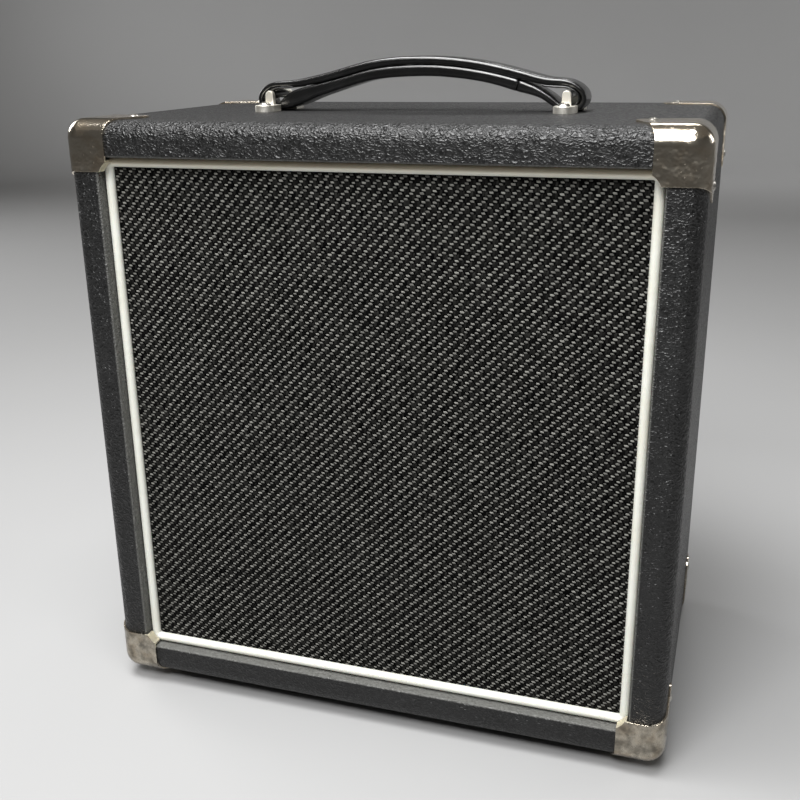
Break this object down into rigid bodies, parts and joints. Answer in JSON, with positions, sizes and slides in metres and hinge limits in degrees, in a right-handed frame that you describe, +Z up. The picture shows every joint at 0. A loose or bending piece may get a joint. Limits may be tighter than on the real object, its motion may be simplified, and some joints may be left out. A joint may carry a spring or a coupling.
{
  "type": "guitar speaker cabinet",
  "caption": "Small black guitar speaker cabinet with woven grille, cream piping, metal corners, strap handle and a semi-open back with an input jack.",
  "frame": {"origin": "on the floor under the middle of the cabinet's bounding box", "axes": "+Z up, the front with the grille faces -Y, +X to the right when looking at the front"},
  "size_m": [0.4042, 0.2526, 0.4471],
  "materials": {
    "plywood": "bare birch plywood",
    "black_board": "black stained plywood",
    "covering_vinyl": "coarse leather-grain vinyl, satin black",
    "grille_weave": "black basket weave with grey floats",
    "cream_piping": "smooth cream white vinyl bead",
    "hook_and_loop": "black hook-and-loop tape",
    "corner_metal": "bright nickel plate",
    "screw_steel": "nickel plated steel",
    "black_screw": "blackened steel",
    "handle_vinyl": "smooth black leather-like vinyl",
    "loop_metal": "bright nickel plate",
    "foot_rubber": "black rubber",
    "basket_paint": "black enamel on pressed steel",
    "gasket_cork": "pressed fibre",
    "cone_paper": "dark felted paper",
    "surround_cloth": "doped black cloth",
    "spider_cloth": "varnished tan cloth",
    "coil_copper": "bare copper",
    "plated_iron": "zinc plated iron",
    "ferrite": "dark sintered ferrite",
    "fibre_board": "brown fibre board",
    "tag_brass": "tinned brass",
    "jack_plate_metal": "satin black steel",
    "jack_plastic": "black moulded plastic",
    "wire_red": "red insulation",
    "wire_black": "black insulation",
    "clip_nylon": "natural nylon"
  },
  "bodies": {
    "cabinet": {"back_panel_lower": "covering_vinyl", "back_panel_screws": "screw_steel", "back_panel_upper": "covering_vinyl", "back_panel_washers": "screw_steel", "baffle_board": "black_board", "baffle_screws": "black_screw", "bottom_panel": "plywood", "corner_front_bottom_left": "corner_metal", "corner_front_bottom_right": "corner_metal", "corner_front_top_left": "corner_metal", "corner_front_top_right": "corner_metal", "corner_rear_bottom_left": "corner_metal", "corner_rear_bottom_right": "corner_metal", "corner_rear_top_left": "corner_metal", "corner_rear_top_right": "corner_metal", "corner_screws": "screw_steel", "foot_screws": "black_screw", "front_cross_battens": "plywood", "front_side_battens": "plywood", "grille_cloth": "grille_weave", "grille_frame": "black_board", "grille_piping": "cream_piping", "grille_touch_pads": "hook_and_loop", "handle_bracket_left": "loop_metal", "handle_bracket_right": "loop_metal", "handle_screws": "screw_steel", "jack_contacts": "tag_brass", "jack_housing": "jack_plastic", "jack_nut": "screw_steel", "jack_plate": "jack_plate_metal", "jack_plate_screws": "screw_steel", "jack_washer": "screw_steel", "left_side_panel": "plywood", "magnet_back_plate": "plated_iron", "magnet_ring": "ferrite", "magnet_top_plate": "plated_iron", "rear_cross_battens": "plywood", "rear_side_battens": "plywood", "right_side_panel": "plywood", "rubber_feet": "foot_rubber", "speaker_basket": "basket_paint", "speaker_bolts": "black_screw", "speaker_gasket": "gasket_cork", "speaker_spider": "spider_cloth", "speaker_surround": "surround_cloth", "speaker_tee_nuts": "black_screw", "speaker_wire_black": "wire_black", "speaker_wire_red": "wire_red", "terminal_board": "fibre_board", "terminal_tags": "tag_brass", "tinsel_leads": "coil_copper", "top_panel": "plywood", "vinyl_covering": "covering_vinyl", "wire_clip": "clip_nylon"},
    "handle": {"handle_strap": "handle_vinyl", "handle_grip": "handle_vinyl"},
    "cone": {"speaker_cone": "cone_paper", "speaker_dust_cap": "cone_paper", "voice_coil_former": "cone_paper", "voice_coil_winding": "coil_copper"}
  },
  "joints": [
    {"name": "handle_lift", "type": "slide", "parent": "cabinet", "child": "handle", "axis": [0, 0, 1], "range_m": [0, 0.004]},
    {"name": "cone_travel", "type": "slide", "parent": "cabinet", "child": "cone", "axis": [0, 1, 0], "range_m": [-0.004, 0.004], "stiffness_N_per_m": 3000, "deforming": ["speaker_surround", "speaker_spider", "tinsel_leads"]}
  ]
}
